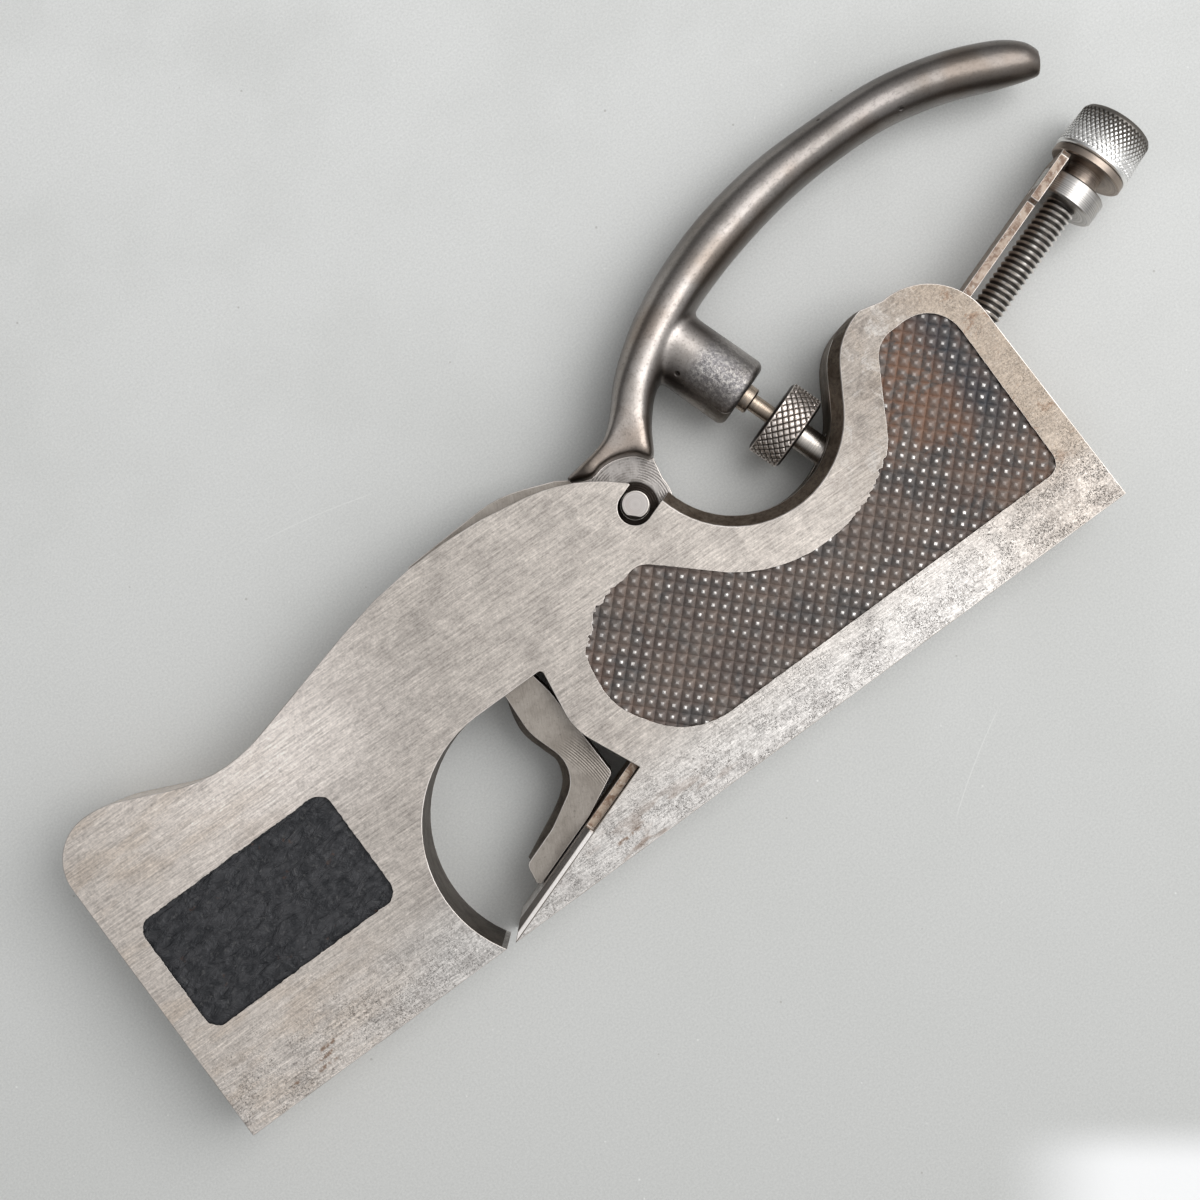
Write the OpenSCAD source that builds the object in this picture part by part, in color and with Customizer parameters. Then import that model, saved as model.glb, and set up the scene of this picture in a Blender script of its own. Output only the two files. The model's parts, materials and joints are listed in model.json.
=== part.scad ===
// Metal shoulder plane, lying on its right side, with the sole facing -Y and the heel at +X.
// Plan outlines are [distance from the toe, height above the sole]; outlines "on the bed" are
// [distance up the bed from the mouth, height above the bed], and turn with the bed.

/* [Body] */
// Length of the sole from toe to heel
sole_l = 203.2; // [196:0.1:212]
// Width of the body, and so of the cut
body_w = 19.05; // [18:0.05:24]
// Height of the rounded nose
nose_h = 66.9; // [62:0.1:70]
// Height of the hump above the heel
hump_h = 57.5; // [55:0.1:60]
// Radius of the rounded nose
nose_r = 9.6; // [6:0.1:9.8]
// Radius of the hump on its heel side
hump_r = 13.4; // [8:0.1:15]
// How far the heel leans forward at the hump
heel_lean = 1.3; // [0:0.1:3]
// Radius of the hollow for the fingers, on the side faces
hollow_r = 20.7; // [19.5:0.1:21.5]
// Width of the bevel round the hollow
bevel_w = 2.2; // [1:0.1:2.4]
// Depth of the bevel round the hollow
bevel_d = 2.8; // [1:0.1:4]

/* [Bed and throat] */
// Height above the sole at which the bed leaves the heel
bed_rise = 46.87; // [45.5:0.01:48]
// Share of the sole's length that lies in front of the bed
toe_share = 0.3002; // [0.29:0.0001:0.31]
// Opening of the mouth in front of the bed
mouth_gap = 1.9; // [0.8:0.1:3]
// Radius of the throat's curved wall
throat_r = 25.1; // [24:0.1:26]
// Height of the throat's roof above the sole
throat_h = 38.5; // [37:0.1:40]
// Room above the tang in its tunnel
tunnel_room = 0.8; // [0.5:0.1:1.5]
// Room on each side of the tang in its tunnel
tunnel_side = 1; // [0.9:0.1:1.6]

/* [Side recesses] */
// Depth of the recessed panels in both side faces
recess_d = 0.9; // [0.4:0.1:1.2]
// Width of the rim between the grip panel and the hollow
grip_rim = 8.6; // [7:0.1:10]
// Height of the rim between the grip panel and the sole
grip_foot = 11.1; // [9:0.1:13]
// Length of the toe panel
panel_l = 41.1; // [36:0.1:44]
// Height of the toe panel
panel_h = 22.5; // [18:0.1:26]

/* [Cutting iron] */
// Thickness of the iron
iron_t = 1.8; // [1.5:0.1:2.4]
// Room between the iron's sides and the body's sides
iron_side = 0.025; // [0.02:0.005:0.1]
// Length of the full-width part of the iron
blade_l = 25.5; // [20:0.1:28]
// Width of the tang
tang_w = 13; // [11.5:0.1:13.4]
// Width of the head at the tail of the tang
head_w = 14.6; // [14.2:0.1:14.8]
// Length of the head
head_l = 12; // [10:0.1:14]
// Angle of the cutting edge's bevel
edge_angle = 25; // [20:1:35]

/* [Adjuster] */
// Distance from the heel to the adjuster's collar, along the bed
collar_out = 25.9; // [20:0.1:30]
// Depth of the adjuster's axis below the bed
adjuster_drop = 4.5; // [4.2:0.1:5.5]
// Diameter of the adjuster's thread
thread_d = 6.35; // [5:0.05:6.6]
// Thickness of the collar that carries the iron
collar_t = 4.6; // [3.5:0.1:5.5]
// Diameter of the neck behind the collar
neck_d = 7.3; // [6:0.1:8]
// Diameter of the flange under the knob
flange_d = 15.2; // [13:0.1:18]
// Thickness of the flange under the knob
flange_t = 1.75; // [1.2:0.05:2.5]
// Diameter of the adjusting knob
knob_d = 15.7; // [14:0.1:18.4]
// Length of the adjusting knob
knob_l = 9.5; // [8:0.1:12]

/* [Cap lever] */
// Distance of the pivot from the heel, along the sole
pivot_back = 75.3; // [74.5:0.1:76]
// Height of the pivot above the sole
pivot_h = 52.9; // [52:0.1:53.5]
// Diameter of the pivot pin
pin_d = 5.2; // [4.5:0.1:5.6]
// Thickness of the lever's limb between the cheeks
limb_t = 9.1; // [8:0.1:10]
// Room between the limb and each cheek
limb_side = 0.25; // [0.2:0.05:0.4]
// Radius of the lever's disc round the pivot
disc_r = 7.4; // [7:0.1:7.8]
// How far the palm arm reaches past the heel, along the bed
arm_over = 46.1; // [42:0.1:50]
// Room between the palm arm's widest place and each side face
arm_side = 0.3; // [0.2:0.1:1.5]
// Diameter of the boss that holds the clamp screw
boss_d = 14.2; // [12:0.1:15]

/* [Clamp screw] */
// Distance of the clamp screw from the pivot, along the bed
screw_out = 29.4; // [28.5:0.1:30.5]
// Diameter of the rod that presses on the iron
rod_d = 5.4; // [4.6:0.1:6]
// Diameter of the neck between wheel and boss
stem_d = 3.4; // [2.6:0.1:4.2]
// Diameter of the thumb wheel
wheel_d = 15.4; // [13:0.1:16]
// Thickness of the thumb wheel
wheel_t = 6.8; // [5.5:0.1:7.4]
// Distance of the thumb wheel's lower face below the pivot, down towards the bed
wheel_drop = 18; // [17:0.1:18.4]

/* [Hidden] */
$fn = 96;
mid = body_w / 2;
past = 3;
arc_step = 6;
running = 0.05;
press = 0.02;
seat = 0.3;
corner_break = 0.5;

iron_c = "#b9aea5";
body_c = "#c2b9b1";
lever_c = "#8f8a85";
screw_c = "#a79c8f";
bright_c = "#d3d2cf";

// The bed from the mouth to the heel, and the pivot seen from it
bed_start = sole_l * toe_share;
heel_wall = sole_l - heel_lean;
bed_angle = atan(bed_rise / (heel_wall - bed_start));
bed_l = (heel_wall - bed_start) / cos(bed_angle);
pivot = [sole_l - pivot_back, pivot_h];
pivot_s = (pivot[0] - bed_start) * cos(bed_angle) + pivot[1] * sin(bed_angle);
pivot_n = pivot[1] * cos(bed_angle) - (pivot[0] - bed_start) * sin(bed_angle);

// The lever's slot, the iron's tunnel and the adjuster's bore
slot_w = limb_t + 2 * limb_side;
tunnel_w = tang_w + 2 * tunnel_side;
tunnel_h = iron_t + tunnel_room;
bore_d = thread_d + 2 * running;
bore_l = 44;
shank_in = 36;
foot_n = iron_t + seat;

// The clamp screw stands on the iron, and its hollow lies round the thumb wheel
screw_s = pivot_s + screw_out;
wheel_n = pivot_n - wheel_drop;
stem_l = 6.4;
boss_n = wheel_n + wheel_t + stem_l;
boss_up = 19.7;
boss_depth = 14;
stud_l = 11.5;
stud_show = 2;
rod_swing = 3.4;
rod_side = 0.5;
hollow_centre = on_bed([screw_s - 5.3, pivot_n - 5.5]);

// The adjuster's lengths, counted up the bed from the mouth
collar_s = bed_l + collar_out;
collar_proud = 0.25;
collar_d = 2 * (adjuster_drop + iron_t + collar_proud);
window_side = 0.3;
window_end = 0.2;
iron_tail = 2.9;
iron_l = collar_s + collar_t + iron_tail;
neck_l = iron_tail + 0.5;
spigot_d = thread_d - 1.2;
spigot_l = knob_l - 1.5;

// The throat's heel-side wall and the limb in front of it, up the bed from the mouth, and the panels
throat_l = 44.7;
throat_n = 25.6;
limb_s = 33.2;
grip_end = 6.8;
panel_foot = 21.4;

// The slots that the pivot pin seats in
pin_slot_r = pin_d / 2 + 0.7;
pin_slot_s = pivot_s - 0.6;
pin_slot_n = pivot_n - 0.3;
pin_flat = pin_d / 2 - 0.35;

// The body's top: the dip behind the nose, and the crown of the cheeks above the throat
dip_share = 0.173;
dip_drop = 9.7;
brow_l = 4;
crown_share = 0.638;
crown_up = 6.9;

// Angle of the wall that rises from the hollow to the hump
rise_angle = 59;
hollow_steps = 24;
hump_steps = 8;

// Stations of the palm arm, counted along the bed and up from it, from the pivot: outer edge, inner
// edge, half width as a share of the widest, and squareness from 0.4, nearly square, to 1, round
arm_drawn = 115;
arm_stations = [
    [-3.2, 13.7, -3.4, 12.2, 0.7, 0.7],
    [0.4, 12.9, -0.6, 9.7, 0.97, 0.5],
    [3.8, 12.2, 2.4, 9.2, 1, 0.4],
    [6.8, 12.2, 5.1, 7.9, 1, 0.4],
    [9.8, 13.2, 7.7, 5.4, 1, 0.4],
    [12.8, 14.8, 9.3, 2.3, 1, 0.45],
    [17.3, 17.2, 14.3, 6.1, 0.98, 0.6],
    [23.3, 19.4, 20.2, 9.2, 0.95, 0.75],
    [31.3, 21.3, 29.3, 11.1, 0.91, 0.85],
    [40.8, 22.3, 39.3, 12.1, 0.87, 0.9],
    [52.8, 22, 51.3, 11.7, 0.82, 0.9],
    [66.6, 19.6, 64.3, 9.9, 0.77, 0.9],
    [79.8, 15.3, 75.8, 6.9, 0.72, 0.9],
    [92.8, 10.1, 87.3, 2.5, 0.67, 0.9],
    [103.8, 3.3, 97.3, -3.6, 0.62, 0.9],
    [111.8, -4.1, 105.4, -10.3, 0.54, 0.9],
    [114.9, -9.2, 109.6, -13.5, 0.42, 0.95],
    [115, -12.7, 111.8, -15, 0.24, 1]
];
arm_steps = 3;
arm_sides = 24;

function unit(v) = v / norm(v);
function xy(p) = [p[0], p[1]];
function cross_z(a, b) = a[0] * b[1] - a[1] * b[0];

// A point of the bed's plane, given in plan
function on_bed(p) = [
    bed_start + p[0] * cos(bed_angle) - p[1] * sin(bed_angle),
    p[0] * sin(bed_angle) + p[1] * cos(bed_angle)
];
function all_on_bed(path) = [for (p = path) len(p) == 3 ? concat(on_bed(p), p[2]) : on_bed(p)];

// An arc's points from one angle to another
function arc(centre, r, a0, a1, steps) = [
    for (i = [0 : steps])
        let (a = a0 + (a1 - a0) * i / steps)
        centre + r * [cos(a), sin(a)]
];

// The arc that rounds corner b, between a and c, with radius r
function corner(a, b, c, r, steps = 0) =
    let (
        p = unit(a - b),
        q = unit(c - b),
        half = acos(p * q) / 2,
        o = b + unit(p + q) * r / sin(half),
        first = b + p * r / tan(half) - o,
        start = atan2(first[1], first[0]),
        turn = (180 - 2 * half) * sign(cross_z(b - a, c - b)),
        n = steps > 0 ? steps : max(2, ceil(abs(turn) / arc_step))
    )
    arc(o, r, start, start + turn, n);

// The radius that rounds corner b and reaches this far along its sides
function reaching(a, b, c, far) = far * tan(acos(unit(a - b) * unit(c - b)) / 2);

// A closed outline from corners [x, y, radius]; a corner without a radius stays sharp
function rounded(path) = [
    for (i = [0 : len(path) - 1])
        let (
            n = len(path),
            a = xy(path[(i + n - 1) % n]),
            b = path[i],
            c = xy(path[(i + 1) % n])
        )
        each (len(b) == 3 && b[2] > 0 ? corner(a, xy(b), c, b[2]) : [xy(b)])
];

// A value between stations b and c of a smooth run a, b, c, d
function smooth(a, b, c, d, t) =
    0.5 * (2 * b + (c - a) * t + (2 * a - 5 * b + 4 * c - d) * t * t + (3 * b - a - 3 * c + d) * t * t * t);

// All the rows of a run of stations, with the steps between them filled in
function filled(rows, steps) = [
    for (i = [0 : len(rows) - 2])
        for (k = [0 : steps - 1])
            let (last = len(rows) - 1)
            smooth(rows[max(i - 1, 0)], rows[i], rows[i + 1], rows[min(i + 2, last)], k / steps),
    rows[len(rows) - 1]
];

// A power that keeps its sign, for rounded squares
function signed_pow(x, e) = sign(x) * pow(abs(x), e);

// The edge of the finger hollow and of the hump beyond it, at a distance w inside the bevel
function hollow_edge(w) =
    let (
        r = hollow_r - w,
        leave = rise_angle - 90,
        foot = hollow_centre + r * [cos(leave), sin(leave)],
        top = [foot[0] + (hump_h - foot[1]) / tan(rise_angle), hump_h]
    )
    concat(
        arc(hollow_centre, r, 180, 360 + leave, hollow_steps),
        corner(foot, top, [sole_l, hump_h], hump_r - w / 2, hump_steps)
    );

// The body seen from its side, with the hollow at its narrow size between the bevels. Its top runs
// from the lip at the hollow over the cheeks' crown and down to a dip behind the nose.
function body_outline() =
    let (
        edge = hollow_edge(bevel_w),
        lip = on_bed([pivot_s + 2.4, pivot_n + 3.4]),
        lug = on_bed([pivot_s - 2.5, pivot_n + 12.6]),
        dip = [sole_l * dip_share, nose_h - dip_drop],
        crown = [dip[0] + (lug[0] - dip[0]) * crown_share, lug[1] + crown_up],
        brow = [nose_r + brow_l, nose_h],
        lug_far = norm(lug - lip) * 0.89,
        crown_far = (norm(crown - lug) - lug_far) * 0.95,
        dip_far = norm(dip - brow) * 0.44
    )
    concat(
        rounded([
            edge[2],
            on_bed([pivot_s + 2.4, pin_slot_n]),
            concat(lip, corner_break),
            concat(lug, reaching(lip, lug, crown, lug_far)),
            concat(crown, reaching(lug, crown, dip, crown_far)),
            concat(dip, reaching(crown, dip, brow, dip_far)),
            concat(brow, reaching(dip, brow, [0, nose_h], brow_l - 0.2)),
            [0, nose_h, nose_r],
            [0, 0],
            [bed_start - mouth_gap, 0],
            [bed_start, 0],
            [sole_l, 0],
            [heel_wall, hump_h, hump_r]
        ]),
        [for (i = [len(edge) - 1 : -1 : 3]) edge[i]]
    );

// The middle of the throat's curved wall, which starts at the mouth
throat_centre = [
    bed_start - mouth_gap + sqrt(pow(throat_r, 2) - pow(throat_h - throat_r, 2)),
    throat_h - throat_r
];

// The opening above the iron, from the mouth to the throat's roof
function throat_outline() =
    let (low = asin((throat_centre[1] + 1) / throat_r))
    rounded(concat(
        arc(throat_centre, throat_r, 180 + low, 90, 24),
        [
            concat(on_bed([throat_l, throat_n]), 0.8),
            concat(on_bed([throat_l - 5.7, throat_n - 11.5]), 12),
            on_bed([throat_l - 4.3, 0]),
            on_bed([0, 0]),
            [bed_start, -1]
        ]
    ));

// The slot between the cheeks, with room for the limb to swing
function slot_outline() =
    let (
        above = pivot_n + 35,
        behind = screw_s - 5.3,
        knee = throat_l + (pivot_s - throat_l) / 3
    )
    all_on_bed([
        [limb_s - 3.2, 10], [limb_s - 3.2, 22], [limb_s + 10, above], [behind, above], [behind, pivot_n - 9],
        [pivot_s, pivot_n - disc_r - 1.1], [pivot_s - 6.7, pivot_n - 5.9], [knee, pivot_n + 1.1],
        [throat_l + 1.3, throat_n + 3.4], [throat_l - 0.1, throat_n - 1.6], [throat_l - 3.3, 12],
        [throat_l - 3.7, 6]
    ]);

// The limb, the bar under the cheeks' crown and the web round the disc of the lever
function limb_outline() =
    let (knee = throat_l + (pivot_s - throat_l) / 3, heel = throat_l - 2.6)
    rounded([
        [limb_s - 22.8, foot_n, 0.8], [limb_s - 6.2, foot_n, 8], [heel - 5.8, foot_n + 1.3, 1.2],
        [heel - 3.8, 10, 6], [heel, 22, 15], [heel + 1.1, throat_n + 4.8, 3],
        [knee, pivot_n + 2.1, 14], [pivot_s - 6, pivot_n - 4.6, 4],
        [pivot_s, pivot_n - disc_r + 1.2, 3], [pivot_s + 5.6, pivot_n - 4.3, 1.5],
        [pivot_s + 9.5, pivot_n + 2.6], [pivot_s + 8, pivot_n + 9], [pivot_s - 3.6, pivot_n + 14, 4],
        [pivot_s - 13.7, pivot_n + 22.4, 24], [throat_l + 0.6, pivot_n + 28.6, 0.8],
        [limb_s + 3, 28, 20], [limb_s, 20.5, 12], [limb_s, 8.9, 7], [limb_s - 12.2, 6.5, 8],
        [limb_s - 20.6, 6.4, 1.5]
    ]);

// The checkered grip panel: between the throat, the hollow and the hump
function grip_outline() =
    let (
        left = throat_centre[0] + throat_r - 2.8,
        right = sole_l - grip_end,
        top = hump_h - grip_end,
        shelf = throat_h + 1
    )
    rounded(concat(
        [[left, grip_foot, 16], [right, grip_foot, 3], [right, top, 7.6], [right - 14, top, 6]],
        arc(hollow_centre, hollow_r + grip_rim, 315, 225, 14),
        [[pivot[0] - 6.3, shelf + 4.4, 5], [left + 1.5, shelf, 6]]
    ));

// The toe panel, midway between the toe and the throat's wall
function panel_outline() =
    let (
        x = (throat_centre[0] - throat_r - panel_l) / 2,
        y = panel_foot,
        r = 3
    )
    rounded([
        [x, y, r], [x + panel_l, y, r], [x + panel_l, y + panel_h, r], [x, y + panel_h, r]
    ]);

// Plan coordinates, with the middle of the sole at the origin
module from_toe() {
    translate([-sole_l / 2, 0, 0])
        children();
}

// The bed's own axes: X up the bed, Y above it, Z across the body from its middle
module from_bed() {
    from_toe()
        translate([bed_start, 0, mid])
            rotate([0, 0, bed_angle])
                children();
}

// A plate cut across the middle of the body, with its outline on the bed
module across(w) {
    translate([0, 0, -w / 2])
        linear_extrude(w)
            children();
}

// Axes along the bed, a height above it, for turned pieces
module along_bed(s, n) {
    from_bed()
        translate([s, n, 0])
            rotate([0, 90, 0])
                children();
}

// Axes up from the bed at a place on it, for turned pieces
module up_from_bed(s, n) {
    from_bed()
        translate([s, n, 0])
            rotate([-90, 0, 0])
                children();
}

// A turned piece with its ends' edges broken
module turned(d, h, edge = 0.3) {
    rotate_extrude()
        polygon([
            [0, 0], [d / 2 - edge, 0], [d / 2, edge], [d / 2, h - edge], [d / 2 - edge, h], [0, h]
        ]);
}

// The bevel round the hollow, cut from the face at z = 0 downwards
module hollow_bevel() {
    over = 1.15;
    face = hollow_edge(0);
    floor_edge = hollow_edge(bevel_w * over);
    n = len(face);
    lift = 60;
    face_end = [[face[n - 1][0], hump_h + lift], [face[0][0], hump_h + lift]];
    floor_end = [[floor_edge[n - 1][0], hump_h + lift], [floor_edge[0][0], hump_h + lift]];
    low = concat(floor_edge, floor_end);
    high = concat(face, face_end);
    m = len(low);
    points = concat(
        [for (p = low) [p[0], p[1], -bevel_d * over]],
        [for (p = high) [p[0], p[1], 0]],
        [for (p = high) [p[0], p[1], past]]
    );
    ring = [for (i = [0 : m - 1]) i];
    sides = [
        for (k = [0, 1])
            for (i = [0 : m - 1])
                let (j = (i + 1) % m, a = k * m)
                each [[a + i, a + m + i, a + j], [a + j, a + m + i, a + m + j]]
    ];
    lid = [for (i = [m - 1 : -1 : 0]) 2 * m + i];
    polyhedron(points = points, faces = concat([ring], sides, [lid]));
}

// A recess of one outline in both side faces
module both_sides(d) {
    for (z = [-past, body_w - d])
        translate([0, 0, z])
            linear_extrude(d + past)
                children();
}

// The slots in both cheeks that the pivot pin slides into from the hollow
module pin_slots() {
    from_bed() {
        translate([pin_slot_s, pin_slot_n, -body_w])
            cylinder(r = pin_slot_r, h = 2 * body_w);
        translate([pin_slot_s, pin_slot_n - pin_slot_r, -body_w])
            cube([screw_out - 4, 2 * pin_slot_r, 2 * body_w]);
    }
}

// The channel that lets the clamp screw's rod down to the iron
module rod_channel() {
    w = rod_d + 2 * rod_side;
    up_from_bed(screw_s, 0)
        cylinder(d = w, h = pivot_n);
    up_from_bed(screw_s - rod_swing, 0)
        cylinder(d = w, h = pivot_n);
    from_bed()
        translate([screw_s - rod_swing, 0, -w / 2])
            cube([rod_swing, pivot_n, w]);
}

module body_casting() {
    color(body_c)
    difference() {
        from_toe()
            linear_extrude(body_w)
                polygon(body_outline());
        from_toe() {
            translate([0, 0, -past])
                linear_extrude(body_w + 2 * past)
                    polygon(throat_outline());
            translate([0, 0, mid - slot_w / 2])
                linear_extrude(slot_w)
                    polygon(slot_outline());
            both_sides(recess_d)
                polygon(grip_outline());
            both_sides(recess_d)
                polygon(panel_outline());
            translate([0, 0, body_w])
                hollow_bevel();
            mirror([0, 0, 1])
                hollow_bevel();
        }
        from_bed()
            translate([blade_l, 0, -tunnel_w / 2])
                cube([bed_l, tunnel_h, tunnel_w]);
        along_bed(bed_l - bore_l, -adjuster_drop)
            cylinder(d = bore_d, h = bore_l + past);
        pin_slots();
        rod_channel();
    }
}

// The iron from above: a full-width blade, a narrow tang and a head with a window
module iron_plan() {
    half = mid - iron_side;
    tang = tang_w / 2;
    head = head_w / 2;
    neck_s = iron_l - head_l;
    clip = 1.2;
    polygon([
        [0.1, -half], [blade_l, -half], [blade_l, -tang], [neck_s, -tang], [neck_s + 0.8, -head],
        [iron_l - clip, -head], [iron_l, clip - head], [iron_l, head - clip], [iron_l - clip, head],
        [neck_s + 0.8, head], [neck_s, tang], [blade_l, tang], [blade_l, half], [0.1, half]
    ]);
}

// The window that the adjuster's collar stands in
module collar_window() {
    chord = 2 * sqrt(pow(collar_d / 2, 2) - pow(adjuster_drop, 2));
    translate([collar_s - window_end, -chord / 2 - window_side])
        square([collar_t + 2 * window_end, chord + 2 * window_side]);
}

module cutting_iron() {
    edge_l = iron_t / tan(edge_angle);
    side_w = 1.2;
    side_h = 0.95;
    side_angle = atan(side_h / side_w);
    color(iron_c)
    from_bed()
    difference() {
        translate([0, iron_t, 0])
            rotate([90, 0, 0])
                linear_extrude(iron_t)
                    difference() {
                        iron_plan();
                        collar_window();
                    }
        translate([0.1, 0, -body_w])
            rotate([0, 0, edge_angle])
                translate([-past, 0, 0])
                    cube([edge_l * 2 + past, 2 * past, 2 * body_w]);
        for (side = [0, 1])
            mirror([0, 0, side])
                translate([-past, iron_t - side_h, mid - iron_side])
                    rotate([side_angle - 90, 0, 0])
                        cube([blade_l + past + 0.01, past, past]);
    }
}

// The palm arm: ovals swept along its stations
module palm_arm() {
    reach = bed_l + arm_over - pivot_s;
    stretch = reach / arm_drawn;
    half = mid - arm_side;
    rows = filled(arm_stations, arm_steps);
    n = len(rows);
    points = [
        for (row = rows)
            let (
                far = row[0] > screw_out ? stretch - 1 : 0,
                outer = [row[0] + far * (row[0] - screw_out), row[1]],
                inner = [row[2] + far * (row[2] - screw_out), row[3]],
                centre = [pivot_s, pivot_n] + (outer + inner) / 2,
                up = (outer - inner) / 2
            )
            for (k = [0 : arm_sides - 1])
                let (
                    a = 360 * k / arm_sides,
                    flat = centre + up * signed_pow(cos(a), row[5])
                )
                [flat[0], flat[1], half * row[4] * signed_pow(sin(a), row[5])]
    ];
    sides = [
        for (i = [0 : n - 2])
            for (k = [0 : arm_sides - 1])
                let (a = i * arm_sides, b = a + arm_sides, j = (k + 1) % arm_sides)
                each [[a + k, b + k, a + j], [a + j, b + k, b + j]]
    ];
    first = [for (k = [0 : arm_sides - 1]) k];
    last = [for (k = [arm_sides - 1 : -1 : 0]) (n - 1) * arm_sides + k];
    polyhedron(points = points, faces = concat([first], sides, [last]));
}

// The boss for the clamp screw, with a rounded end
module screw_boss() {
    r = boss_d / 2;
    edge = 1.6;
    height = boss_up;
    translate([screw_s, boss_n, 0])
        rotate([-90, 0, 0])
            rotate_extrude()
                polygon(concat(
                    [[0, height], [0, 0]],
                    arc([r - edge, edge], edge, 270, 360, 8),
                    [[r, height]]
                ));
}

module cap_lever() {
    color(lever_c)
    from_bed()
    difference() {
        union() {
            across(limb_t)
                polygon(limb_outline());
            translate([pivot_s, pivot_n, -limb_t / 2])
                cylinder(r = disc_r, h = limb_t);
            palm_arm();
            screw_boss();
        }
        translate([pivot_s, pivot_n, -body_w])
            cylinder(d = pin_d + 2 * press, h = 2 * body_w);
        translate([screw_s, boss_n - past, 0])
            rotate([-90, 0, 0])
                cylinder(d = rod_d + 2 * running, h = boss_depth + past);
    }
}

module pivot_pin() {
    length = body_w - 4 * running;
    outside = (length - limb_t) / 2;
    color(bright_c)
    from_bed()
        translate([pivot_s, pivot_n, 0])
            difference() {
                translate([0, 0, -length / 2])
                    cylinder(d = pin_d, h = length);
                for (side = [0, 1])
                    mirror([0, 0, side])
                        rotate([0, 0, 225 - bed_angle])
                            translate([pin_flat, -pin_d, length / 2 - outside])
                                cube([pin_d, 2 * pin_d, outside + past]);
            }
}

module lever_screw() {
    wheel_top = wheel_n + wheel_t;
    stud_n = boss_n - stud_show;
    color(screw_c)
    union() {
        up_from_bed(screw_s, foot_n)
            turned(rod_d, wheel_top - foot_n);
        up_from_bed(screw_s, wheel_top - corner_break)
            cylinder(d = stem_d, h = stud_n - wheel_top + 2 * corner_break);
        up_from_bed(screw_s, stud_n)
            turned(rod_d, stud_l + stud_show);
    }
}

module thumb_wheel() {
    color(screw_c)
    up_from_bed(screw_s, wheel_n)
        difference() {
            turned(wheel_d, wheel_t, corner_break);
            translate([0, 0, -past])
                cylinder(d = rod_d + 2 * running, h = wheel_t + 2 * past);
        }
}

module adjusting_screw() {
    shank_s = bed_l - shank_in;
    neck_s = collar_s + collar_t;
    flange_s = neck_s + neck_l;
    color(screw_c)
    union() {
        along_bed(shank_s, -adjuster_drop)
            turned(thread_d, collar_s - shank_s + corner_break);
        along_bed(collar_s, -adjuster_drop)
            turned(collar_d, collar_t);
        along_bed(neck_s - corner_break, -adjuster_drop)
            cylinder(d = neck_d, h = neck_l + 2 * corner_break);
        along_bed(flange_s, -adjuster_drop)
            turned(flange_d, flange_t);
        along_bed(flange_s + flange_t - corner_break, -adjuster_drop)
            turned(spigot_d, spigot_l + corner_break);
    }
}

module adjusting_knob() {
    r = knob_d / 2;
    taper = 0.5;
    rim = 1;
    knob_s = collar_s + collar_t + neck_l + flange_t;
    color(bright_c)
    along_bed(knob_s, -adjuster_drop)
        difference() {
            rotate_extrude()
                polygon([
                    [0, 0], [r - 0.3, 0], [r, 0.3], [r - taper, knob_l - rim],
                    [r - taper - rim, knob_l], [0, knob_l]
                ]);
            translate([0, 0, -past])
                cylinder(d = spigot_d + 2 * press, h = spigot_l + past + press);
        }
}

body_casting();
cutting_iron();
cap_lever();
pivot_pin();
lever_screw();
thumb_wheel();
adjusting_screw();
adjusting_knob();
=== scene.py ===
"""Looks of an old metal shoulder plane that lies on its right side on a pale table."""
import json
import math

import bmesh
import bpy
import numpy as np
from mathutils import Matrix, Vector, noise


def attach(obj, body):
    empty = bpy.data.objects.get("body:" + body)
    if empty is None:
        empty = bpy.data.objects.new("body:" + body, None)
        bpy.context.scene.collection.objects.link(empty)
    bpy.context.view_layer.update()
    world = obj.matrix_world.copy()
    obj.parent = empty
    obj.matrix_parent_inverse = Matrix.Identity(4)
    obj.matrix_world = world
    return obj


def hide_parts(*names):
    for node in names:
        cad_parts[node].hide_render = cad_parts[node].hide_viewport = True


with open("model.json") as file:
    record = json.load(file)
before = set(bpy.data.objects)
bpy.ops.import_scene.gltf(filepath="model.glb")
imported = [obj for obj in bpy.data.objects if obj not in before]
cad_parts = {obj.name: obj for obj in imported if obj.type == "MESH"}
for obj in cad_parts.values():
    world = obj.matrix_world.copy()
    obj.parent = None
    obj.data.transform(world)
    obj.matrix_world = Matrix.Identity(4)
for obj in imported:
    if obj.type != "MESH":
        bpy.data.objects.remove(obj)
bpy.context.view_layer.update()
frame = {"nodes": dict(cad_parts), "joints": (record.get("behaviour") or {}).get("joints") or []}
joints = {j["name"]: j for j in frame["joints"]}

# Places and sizes in millimetres; on the bed, s runs up from the mouth and n off the bed
MM = 0.001
WIDTH = 19.05
MID = WIDTH / 2
MOUTH = Vector((-40.6, 0.0, MID))
UP_BED = Vector(joints["iron_slide"]["axis"])
OFF_BED = Vector((-UP_BED.y, UP_BED.x, 0.0))
PIVOT = Vector(joints["lever_tilt"]["pos_m"]) / MM
HEEL_S = 148.49
ADJUSTER_N = -4.5
CLAMP_S = 109.58
HOLLOW, HOLLOW_R = Vector((50.9, 55.3, MID)), 21.6
THROAT, THROAT_R = Vector((-21.4, 13.4, MID)), 26.5
VIEW_CENTRE = (10.3, 42.4)
VIEW_HEIGHT = 397.0
VIEW_TURN = math.radians(36.35)


# Camera

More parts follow.
